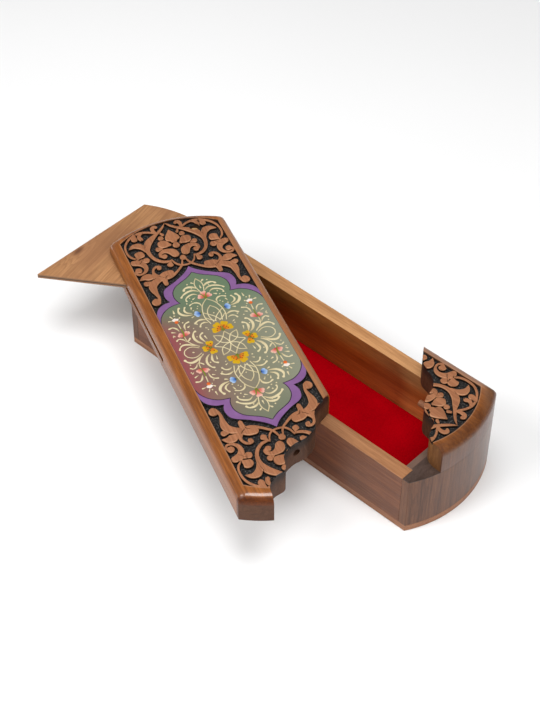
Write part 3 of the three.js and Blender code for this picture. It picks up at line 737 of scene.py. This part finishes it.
VINES = [
    # cartouche
    [(-119.9, 0, 0), (-116.6, 2.5, 0.7), (-113.6, 5.6, 0.9), (-111, 8.9, 1.1), (-108.5, 12.3, 1.9),
     (-105.4, 15.7, 2.4), (-101.3, 18.1, 2.2), (-97.3, 18.9, 1.5), (-92, 18.4, 1.15), (-87.5, 16.5, 1.1),
     (-84.4, 13.2, 1.0), (-83.3, 9.8, 0.8), (-83.8, 7.8, 0)],
    # horn leaf on the cartouche
    [(-98, 19.9, 1.0), (-101.8, 20.9, 1.9), (-104.5, 23, 2.5), (-105, 25.9, 1.8), (-104.1, 28.2, 0.9),
     (-103.2, 29.7, 0)],
    # ring that the stems pass through
    [(-83.8, 7.5, 0.4), (-80.5, 6.5, 0.55), (-78, 4.6, 0.55), (-76.8, 2.5, 0.55), (-76.4, -0.2, 0.55)],
    # stem up to the three-lobed leaf
    [(-82.3, 1.2, 0.45), (-79, 2.2, 0.65), (-76.5, 3.5, 0.7), (-74.5, 5.5, 0.7), (-72, 8.3, 0.8),
     (-70.3, 11, 1.1), (-69.6, 14, 1.8), (-69.9, 17.5, 2.2), (-70.4, 20.6, 1.9)],
    # lower lobe, curl and horn of that leaf
    [(-72.7, 12.9, 2.7), (-72, 16, 3.0), (-71, 18.6, 2.4)],
    [(-71.2, 20.2, 1.6), (-74, 21.9, 1.4), (-77, 22.2, 0.9), (-80, 20.9, 0.8), (-81.2, 18.7, 0.8),
     (-80.5, 16.9, 1.1), (-79.4, 17.5, 1.5)],
    [(-69.5, 17.2, 2.0), (-66.4, 18, 1.6), (-63.8, 18, 1.4)],
    # long leaf that ends in a ball
    [(-69.6, 16.5, 1.4), (-69.1, 20.6, 1.9), (-67.6, 24.2, 2.6), (-64.6, 26.7, 2.6), (-61, 27.1, 2.2),
     (-57.5, 26.8, 1.4), (-54, 26.4, 0.95), (-50.8, 26.9, 0.9)],
    ball(-50, 29.3, 2.9),
    # bud and berry above the stem
    [(-71.5, 22, 0.4), (-72.8, 23.9, 2.0), (-73.9, 26.6, 3.0), (-74.1, 29, 2.2), (-73.3, 31, 1.0),
     (-72.6, 32.5, 0)],
    [(-68.9, 27.2, 0.6), (-68.3, 29.3, 2.1)],
    # berry beside the ring
    [(-83.3, 8.2, 0.4), (-82, 8.8, 0.7), (-80.2, 9.7, 2.1)],
    # scroll along the rim
    [(-89.6, 30.6, 2.3), (-88.9, 28.2, 2.6), (-86.7, 26.1, 2.1), (-83.5, 25, 1.6), (-80.3, 25.8, 1.2),
     (-78.2, 28.3, 0.75), (-78, 31.1, 0.7), (-79.6, 32.8, 0.7)],
    [(-80.6, 32.4, 0.8), (-81.6, 30.5, 2.4)],
    # outer vine
    [(-112.9, 9.6, 0.6), (-115.1, 13.3, 0.7), (-116.2, 17.4, 0.75), (-115.6, 21.5, 0.75),
     (-113.5, 25.5, 0.75), (-110.3, 28.9, 0.75), (-105.7, 31.3, 0.7), (-100, 31.95, 0.7),
     (-95.7, 30.8, 0.7), (-93.2, 28.8, 0.5)],
    # berries on it
    [(-92.2, 27.9, 0.6), (-93.4, 26.8, 1.4), (-95.3, 25.3, 3.5)],
    [(-90.4, 25.6, 0.7), (-89.4, 22.8, 2.4)],
    # small leaves near the end
    [(-115, 22.6, 1.3), (-113.2, 23.2, 1.8), (-111.2, 23.4, 2.0)],
    [(-115.9, 16.2, 0.5), (-114.8, 18.6, 1.0), (-112.4, 19.9, 1.3), (-110, 19.2, 1.4)],
    [(-112.5, 8.6, 0.9), (-115.2, 9.5, 1.2), (-117.8, 9.1, 1.4), (-118.7, 7.5, 1.3), (-117.9, 6.6, 1.0)],
    [(-110.7, 5.7, 0.7), (-109.1, 4.9, 1.0)],
    # petals of the palmette
    [(-98.3, 3.7, 1.0), (-99.3, 5.6, 2.8), (-100.3, 7.5, 3.7)],
    ball(-106.3, 7.2, 1.85),
    [(-96.1, 9.6, 0.4), (-96.6, 12, 2.0)],
    [(-88.7, 3.5, 2.7), (-91.3, 4.5, 2.9), (-93.2, 7.2, 2.1), (-93.5, 10, 1.5), (-91.9, 12.4, 1.2),
     (-89.9, 12.9, 1.0)],
    [(-89.4, 12.7, 0.8), (-88.8, 10.8, 2.0)],
]
# Fine grooves that part the leaves and lobes
CREASES = [
    [(-109, 19.2, 0.3), (-106.5, 19.6, 0.28), (-103.2, 18.9, 0.2), (-100.5, 19.9, 0.12)],
    [(-72.6, 20.9, 0.15), (-71, 19.3, 0.22), (-69.6, 17.6, 0.22)],
    [(-70.5, 14.6, 0.2), (-69.6, 16.4, 0.22), (-67.9, 16.9, 0.15)],
    [(-87.2, 27.9, 0.2), (-88.6, 26, 0.25), (-89.9, 25.4, 0.2)],
    [(-91.9, 29.4, 0.25), (-92.6, 27.9, 0.25), (-94.4, 28.9, 0.2)],
    [(-115.9, 21.4, 0.2), (-114.3, 21.5, 0.25), (-112.6, 21.7, 0.2)],
    [(-89.9, 24.6, 0.2), (-91.3, 24.1, 0.2), (-92.2, 23.2, 0.2)],
]
# Strokes on the centre line, drawn once an end
CENTRE_VINES = [
    [(-112.6, 0, 0), (-110.3, 0, 1.7), (-107.2, 0, 3.8), (-104.4, 0, 4.8), (-102.6, 0, 4.3),
     (-101.6, 0, 2.2)],
    ball(-96.7, 0, 2.35),
    ball(-83.6, 0, 2.1),
]


def plug_hole(group, material):
    """The hole over the screw, which also goes through the scrollwork on it."""
    turns = np.radians(np.arange(0, 360, 10))
    around = zip(np.cos(turns) * PLUG_HOLE_RADIUS, np.sin(turns) * PLUG_HOLE_RADIUS)
    outline = [(PIVOT.x + x, PIVOT.y + y) for x, y in around]
    return slab("plug_hole", outline, LID_TOP - 5, LID_TOP + 5, material, group)


# How far the right end's scrollwork is drawn towards the box's middle: distances from the middle,
# then the pull there on the centre line and near the rims
NEAR_PULL = (
    (50, 64, 73, 78, 88, 97, 101, 106, 120),
    (0.2, 0.6, 0.9, 1.6, 1.4, 2.4, 2.8, 2.6, 1.9),
    (0.2, 0.6, 0.9, 1.4, 1.4, 2.3, 2.2, 2.1, 1.9),
)
FIXED_PULL = (
    (80, 89, 95.5, 100, 105, 112, 116, 120),
    (0.5, 0.6, 2.2, 2.7, 3.3, 3.3, 3.3, 3.3),
    (0.5, 0.6, 2.2, 2.0, 2.0, 2.8, 3.1, 3.2),
)


def drawn_in(strokes, pull, mirror):
    """Strokes drawn towards the box's middle, and turned to the right end where mirror is -1."""
    places, middle, rim = pull

    def moved(x, y, width):
        to_rim = min(1.0, max(0.0, (abs(y) - 10) / 8))
        near = np.interp(-x, places, middle) * (1 - to_rim) + np.interp(-x, places, rim) * to_rim
        return mirror * (x + float(near)), y, width

    return [[moved(*point) for point in stroke] for stroke in strokes]


def scrollwork(name, mirror, side, group, material, pull=((0,), (0,), (0,))):
    """One end's scrollwork on one side of the saw cut, with its veins cut in."""
    def end_of(quarter, centre=()):
        return drawn_in([*quarter, *flipped(quarter), *centre], pull, mirror)

    base = LID_TOP - CARVING_DEPTH
    relief = strips(name, end_of(VINES, CENTRE_VINES), base, CARVING_DEPTH - 0.05, material, group, 0.28)
    veins = strips("veins", end_of(CREASES), LID_TOP - 0.75, 1.0, material, group, 0.0, 0)
    relief = carved_by(relief, veins, "DIFFERENCE")
    if side == "whole":
        relief = carved_by(relief, plug_hole(group, material), "DIFFERENCE")
    relief = carved_by(relief, one_side(side, group, material))
    return join_body(soften(relief), group)


def soften(piece):
    """Smooth shading with crisp edges, weighted by face so that flat tops stay flat."""
    same_spot = 3e-7
    work = bmesh.new()
    work.from_mesh(piece.data)
    bmesh.ops.remove_doubles(work, verts=work.verts, dist=same_spot)
    bmesh.ops.dissolve_degenerate(work, edges=work.edges, dist=same_spot)
    smooth_shaded(work, 38)
    work.to_mesh(piece.data)
    work.free()
    weight = piece.modifiers.new("flat_tops", "WEIGHTED_NORMAL")
    weight.keep_sharp = True
    weight.weight = 80
    return plain(piece)


def carve_lid():
    """Scrollwork in the sunk fields, trimmed where the saw went through it."""
    lid_wood = relief_finish("lid", "carved_walnut_lid")
    end_wood = relief_finish("box", "carved_walnut_end")
    scrollwork("lid_scrollwork_far", 1, "whole", "lid", lid_wood)
    scrollwork("lid_scrollwork_near", -1, "lid", "lid", lid_wood, NEAR_PULL)
    scrollwork("fixed_end_scrollwork", -1, "fixed", "box", end_wood, FIXED_PULL)


# Painted medallion, drawn on the left end's back quarter as the scrollwork is

PANEL_BORDER = [
    [(-74, 0), (-70.2, 3.1), (-66.3, 7.9), (-62.5, 14), (-60.4, 18.4), (-57.6, 21.9), (-53, 23.2),
     (-49.6, 22.9), (-46.7, 21.6)],
    [(-46.7, 21.6), (-45.8, 26.4), (-43.6, 29.9), (-41, 31.9), (-38, 33.1)],
]
PAINTED_FIELD = [
    [(-67.6, 0), (-65.2, 2.6), (-63, 5.7), (-60.8, 9.9), (-58, 14.2), (-53.7, 17.1), (-49.4, 17.8),
     (-45.8, 17.2), (-43.1, 16)],
    [(-43.1, 16), (-42.6, 20.7), (-41.5, 24.2), (-38.7, 28.2), (-34.4, 31.4), (-29.3, 33.05)],
]
THIN_LINES = [
    [(-61.2, 0), (-57.6, 2), (-54, 2.5), (-50, 1.6), (-46, 0.5)],
    [(-41.4, 0), (-37.4, 3.7), (-33.3, 5.5), (-29, 6.4), (-24.6, 6.5), (-19.6, 5.1)],
    [(-34.8, 0), (-31.4, 2.8), (-26.5, 3.9), (-20.4, 2.7)],
    [(-29.8, 6), (-27.1, 2.9), (-24.5, 0.4), (-21, -1.5)],
    [(-25.2, 6.2), (-22.6, 3.8), (-20.6, 1.2)],
    [(-10.2, 0), (-6, 2.5), (-2.5, 5.5), (-0.3, 9.6)],
    [(-8.8, 7.4), (-4.1, 6.5), (-1.2, 3.8), (0, 0)],
    [(-8.8, 7.4), (-7, 3.2), (-3, 0.7), (0, 0)],
    [(-2.4, 19), (-4.4, 22.4), (-4.4, 25.4), (-2.6, 28), (0, 28.9)],
    [(-14.2, 23.9), (-10.2, 23.5), (-6.6, 21.4), (-3.6, 18.4)],
    [(-26.4, 23.8), (-21.6, 23.5)],
]

# Brush strokes with a round end: points from the stem outwards, and half width
COMMAS = [
    ([(-52.2, 2.2), (-54.1, 4.2), (-54.9, 6.9), (-54.4, 9.2), (-53, 10.2)], 0.8),
    ([(-49.4, 2.2), (-51.4, 4.8), (-51.7, 7.6), (-50.6, 10.8), (-49.1, 13), (-47.9, 14)], 0.75),
    ([(-46.8, 4.2), (-48.2, 6), (-48.2, 8), (-47, 10.6), (-45.3, 12.2), (-43.7, 12.2)], 0.7),
    ([(-44.5, 5.9), (-43.6, 7.5)], 0.55), ([(-57, 2), (-58.5, 3.5)], 0.65),
    ([(-35.3, 5.1), (-38.2, 5.4), (-39.9, 7.2), (-40.1, 9.5), (-39, 11.6)], 0.6),
    ([(-35.2, 12.1), (-37, 11.5)], 0.5),
    ([(-30.5, 12.6), (-31.1, 15.9), (-32.7, 18.4), (-35.2, 19.7), (-37.6, 19.3), (-38.8, 18.5)], 0.85),
    ([(-32.2, 12.6), (-33.5, 15), (-35.5, 16.1), (-37.5, 15.6), (-38.6, 14.9)], 0.7),
    ([(-38.6, 22.4), (-35.9, 22.6)], 0.55), ([(-31.6, 24.9), (-33.9, 26)], 0.5),
    ([(-30.3, 26.2), (-30.5, 28.4)], 0.5), ([(-30.2, 22.2), (-31.1, 21.2)], 0.5),
    ([(-20.2, 25), (-22.7, 25.9), (-24.5, 27.8), (-24.1, 30)], 0.6),
    ([(-19.2, 27.2), (-20.2, 29.4)], 0.5), ([(-16, 28.9), (-17.1, 30)], 0.45),
    ([(-19.8, 21.2), (-22.7, 21), (-24.9, 19.8), (-25.9, 17.3)], 0.6),
    ([(-22.2, 17.6), (-21.5, 19)], 0.6), ([(-10, 24.6), (-12.2, 25.9), (-13.3, 28), (-12.2, 29.6)], 0.55),
    ([(-10, 24.4), (-10.2, 22.6), (-11.9, 21.1)], 0.5),
    ([(-4.1, 18.8), (-6, 21.9), (-7.5, 24.7), (-7.8, 27.4), (-6.2, 29.6), (-4.7, 30.3)], 0.8),
    ([(-5, 15.2), (-6.6, 17.1), (-9.7, 18.6), (-12.8, 18.6), (-15.5, 17.4), (-16.3, 16.2)], 0.8),
    ([(-5.6, 13.8), (-7.8, 14.6), (-10.1, 15.2), (-12.3, 14.7), (-13.6, 12.9)], 0.7),
    ([(-7.6, 11.6), (-10.4, 12.1)], 0.5),
    ([(-23.6, 6.9), (-24.8, 9.6), (-24.4, 12.2), (-22.9, 14.1)], 0.7),
    ([(-20.6, 6.5), (-21.5, 8.6), (-20.7, 10.8), (-18.8, 11.9)], 0.6),
    ([(-16.4, 7.6), (-17.2, 8.9)], 0.45), ([(-29, 12.2), (-28.3, 13.8)], 0.55),
    ([(-54.8, 0), (-52.2, 0)], 0.55),
]
DOTS = [(-57.4, 6.4), (-41.5, 12.9), (-35.2, 8.5), (-28.2, 21.9), (-19.3, 16), (-14.7, 8.5), (0, 23.5),
        (-27.7, 0), (-9.6, 28.4), (-33.6, 11), (-15.8, 30.2), (-36.6, 7.6), (-26.3, 20.4), (-21.7, 13.2),
        (-33.7, 23.4), (-17.8, 19.9), (-11.6, 16.9), (-52.8, 5.6), (-45.7, 9.2), (-42.2, 9.4),
        (-31.4, 17.4)]

# Flowers: centre, petal middles, petal half width
YELLOW_FLOWERS = [((-12.4, 0), [(-13, 5.2), (-17.2, 2.6)], 2.3), ((0, 12.4), [(0, 16), (-4.2, 11.8)], 2.3)]
PINK_FLOWERS = [((-43, 0), [(-44.5, 3.2), (-47.4, 0)], 1.9),
                ((-14.8, 23.5), [(-16.6, 25.9), (-17.2, 21.1)], 1.8)]
BLUE_FLOWERS = [((-30.2, 7.8), [(-31.7, 9.9), (-30.4, 10.6), (-28.9, 9.9)], 1.25)]
BUDS = [((-28.9, 24.1), [(-30.7, 24.2), (-30.2, 25.2), (-30.1, 23.1)], 0.95)]
BUD_HEARTS = [(-28, 24.1)]
SPOTS = [(-13.6, 2.9), (-12.3, 3.5), (-15.1, 1.8), (-14.4, 0.9), (-1.1, 14.6), (-2.3, 13.5), (-3.1, 11.4),
         (0, 13.2)]
STEMS = [
    [(-41.9, 0.3, 0.5), (-44.6, 0.9, 0.45), (-46.9, 1.7, 0.15)], [(-11.3, 0.3, 0.55), (-15.2, 0.4, 0.2)],
    [(-11.6, 0.6, 0.4), (-12.8, 2.4, 0.15)], [(-0.2, 12, 0.55), (-2, 14.2, 0.4), (-3.2, 15.4, 0.15)],
    [(-13.4, 24.9, 0.15), (-15, 23.9, 0.4), (-18, 23.4, 0.5), (-21.4, 23.5, 0.3)],
    [(-30, 7.5, 0.3), (-31.2, 6.7, 0.15)],
]


def smooth_edge(runs):
    """A quarter outline with corners only between its runs, mirrored to a closed one."""
    quarter = []
    for run in runs:
        path = flow([(x, y, 0) for x, y in run], 1.0)[:, :2]
        quarter.extend(path if not quarter else path[1:])
    back = [(x, y) for x, y in quarter] + [(-x, y) for x, y in reversed(quarter)]
    front = [(x, -y) for x, y in reversed(back)]
    return back + front[1:-1]


def widened(outline, margin):
    """The outline moved outwards, but not onto the rims."""
    line = np.array(outline)
    along = np.roll(line, -1, 0) - np.roll(line, 1, 0)
    outward = np.stack([-along[:, 1], along[:, 0]], 1) / np.hypot(*along.T)[:, None]
    moved = line + outward * margin
    moved[:, 1] = np.clip(moved[:, 1], 0.2 - FIELD_EDGE, FIELD_EDGE - 0.2)
    return [tuple(p) for p in moved]


def comma(points, width):
    """A brush stroke that starts thin, swells, and ends in a small ball."""
    count = len(points)
    shares = [0.3] + [1.0 - 0.4 * abs(2 * i / (count - 1) - 0.9) for i in range(1, count - 1)] + [0.95]
    if count > 3:
        shares[-2] *= 0.72
    return [(x, y, width * share) for (x, y), share in zip(points, shares)]


def four_ways(strokes, wander=0.0):
    """The quarter's strokes in all four quarters, once where they lie on a centre line."""
    made = []
    for stroke in strokes:
        for x, y in ((1, 1), (1, -1), (-1, 1), (-1, -1)):
            turned = [(round(x * px, 4) + 0.0, round(y * py, 4) + 0.0, w) for px, py, w in stroke]
            if turned not in made:
                made.append(turned)
    if not wander:
        return made
    chance = np.random.default_rng(11)
    moved = []
    for stroke in made:
        dx, dy = chance.uniform(-wander, wander, 2)
        wide = chance.uniform(0.85, 1.15)
        moved.append([(x + dx, y + dy, w * wide) for x, y, w in stroke])
    return moved


def petals(flowers, lobes=1):
    """Petals from each flower's centre, each with one round end or two."""
    strokes = []
    for (cx, cy), middles, width in flowers:
        for px, py in middles:
            along = Vector((px - cx, py - cy)).normalized()
            across = Vector((-along.y, along.x)) * width * 0.42
            for side in ((0,) if lobes == 1 else (-1, 1)):
                end = Vector((px, py)) + across * side
                part = width if lobes == 1 else width * 0.62
                strokes.append([(cx, cy, part * 0.25), ((cx + end.x) / 2, (cy + end.y) / 2, part * 0.75),
                                (end.x, end.y, part)])
    return four_ways(strokes)


# Brush paints: share of the way along the stroke, and the tone there
BRUSH_PAINTS = {
    "cream": [(0.0, (176, 160, 122)), (0.5, (198, 184, 146))],
    "yellow": [(0.15, (176, 66, 18)), (0.42, (192, 110, 14)), (0.72, (184, 146, 10))],
    "pink": [(0.1, (160, 48, 40)), (0.5, (192, 100, 88)), (0.85, (206, 158, 142))],
    "blue": [(0.12, (22, 36, 84)), (0.45, (82, 120, 178)), (0.85, (146, 168, 196))],
    "white": [(0.2, (204, 176, 156)), (0.6, (214, 204, 194))],
    "orange": [(0.0, (206, 104, 40)), (1.0, (184, 76, 28))],
    "rust": [(0.0, (112, 40, 16)), (1.0, (130, 52, 20))],
    "olive": [(0.0, (96, 100, 28)), (1.0, (112, 122, 40))],
}


def painted_medallion():
    """Thin plates for the border and the ground, and the brush strokes on them."""
    field = smooth_edge(PAINTED_FIELD)
    plates = [("medallion_border", smooth_edge(PANEL_BORDER), 0.05, border_finish()),
              ("medallion_outline", widened(field, 0.55), 0.07, outline_finish()),
              ("medallion_field", field, 0.09, field_finish())]
    for name, edge, height, material in plates:
        join_body(slab(name, edge, LID_TOP - 0.2, LID_TOP + height, material, "lid"), "lid")
    hearts = four_ways([ball(x, y, 1.2) for x, y in BUD_HEARTS])
    spots = four_ways([ball(x, y, 0.42) for x, y in SPOTS])
    lines = four_ways([[(x, y, 0.3) for x, y in line] for line in THIN_LINES])
    lines += four_ways([comma(points, width) for points, width in COMMAS], 0.3)
    lines += four_ways([ball(x, y, 0.45) for x, y in DOTS], 0.4)
    layers = [("cream_strokes", "cream", lines, 0.11, 0.05),
              ("yellow_petals", "yellow", petals(YELLOW_FLOWERS, 2), 0.12, 0.08),
              ("pink_petals", "pink", petals(PINK_FLOWERS, 2), 0.12, 0.08),
              ("blue_petals", "blue", petals(BLUE_FLOWERS), 0.12, 0.08),
              ("white_buds", "white", petals(BUDS), 0.12, 0.08),
              ("orange_bud_hearts", "orange", hearts, 0.14, 0.08),
              ("rust_spots", "rust", spots, 0.16, 0.07),
              ("olive_stems", "olive", four_ways(STEMS), 0.16, 0.08)]
    for name, colour, strokes, base, rise in layers:
        brush = brush_finish(f"{colour}_paint", BRUSH_PAINTS[colour])
        piece = strips(name, strokes, LID_TOP + base - 0.03, rise, brush, "lid", 0.5, 2, 0.8, 0.0003)
        join_body(piece, "lid")


# Stage

def photo_camera():
    """The photograph's viewpoint, fitted to the box's corners."""
    focal_pixels, picture_height, distance = 1554.63, 720, 970.5
    azimuth, elevation, roll = math.radians(43.37), math.radians(44.76), 0.00257
    target = Vector((-21.61, -8.76, 25))
    back = Vector((math.sin(azimuth) * math.cos(elevation), -math.cos(azimuth) * math.cos(elevation),
                   math.sin(elevation)))
    level = Vector((math.cos(azimuth), math.sin(azimuth), 0))
    up = back.cross(level)
    right = math.cos(roll) * level + math.sin(roll) * up
    data = bpy.data.cameras.new("photo_camera")
    data.lens = focal_pixels / picture_height * data.sensor_width
    camera = new_object("photo_camera", data)
    turn = Matrix((right, back.cross(right), back)).transposed().to_4x4()
    camera.matrix_world = Matrix.Translation((target + back * distance) * MM) @ turn
    bpy.context.scene.camera = camera


def soft_light(name, place, size, power):
    """A round light that faces the box."""
    data = bpy.data.lights.new(name, "AREA")
    data.shape = "DISK"
    data.size = size
    data.energy = power
    light = new_object(name, data)
    light.location = place
    light.rotation_euler = (Vector((0, 0, 0.03)) - Vector(place)).to_track_quat("-Z", "Y").to_euler()


def studio():
    bpy.ops.mesh.primitive_plane_add(size=6, location=(0, 0, -0.0002))
    floor = bpy.context.object
    floor.name = "pale_floor"
    cover = Finish("pale_floor", "box", specular=0.5, roughness=0.7)
    pale = [(0.3, (0.86, 0.86, 0.86, 1)), (0.7, (0.9, 0.9, 0.9, 1))]
    tone = cover.ramp(cover.noise(cover.spot, 0.002, 2.0), pale)
    floor.data.materials.append(cover.feed(base_color=tone))
    world = bpy.data.worlds.new("studio")
    bpy.context.scene.world = world
    world.use_nodes = True
    sky = world.node_tree.nodes["Background"].inputs
    sky["Color"].default_value = (1, 1, 1, 1)
    sky["Strength"].default_value = 0.25
    soft_light("key", (-0.35, -1.0, 1.05), 0.8, 12)
    soft_light("fill", (1.1, -0.25, 0.8), 0.8, 6)
    soft_light("overhead", (0.15, -0.1, 1.4), 0.9, 13)
    bpy.context.scene.view_settings.view_transform = "Standard"


def build():
    walls = wall_finish()
    blocks = block_finish()
    pale = shades(196, 152, 100)
    pale_lid = bare_wood("pale_wood_lid", "lid", pale)
    board = bare_wood("pale_bottom_board", "box", shades(152, 102, 70), (0.05, 1, 1), 0.16, 0.08, 0.5, 0.4)
    dressed("bottom_board", board)
    dressed("front_wall", walls)
    dressed("back_wall", walls)
    dressed("left_end_block", blocks)
    dressed("right_end_block", blocks)
    dressed("felt_lining", felt_finish())
    dressed("fixed_lid_end", lid_finish("box", "lid_walnut_end"), 0)
    dressed("lock_peg", bare_wood("brown_dowel", "box", shades(132, 84, 56)), 0.4)
    dressed("pivot_screw", steel_finish(), 0)
    dressed("pivot_collar", bare_wood("pale_wood_box", "box", pale), 0.1)
    dressed("lid_panel", lid_finish("lid", "lid_walnut"), 0)
    dressed("access_plug", pale_lid, 0.2)
    dressed("stop_pin", pale_lid, 0.2)
    dressed("swing_leaf", leaf_finish(), 0.15)
    carve_lid()
    painted_medallion()


photo_camera()
studio()
build()
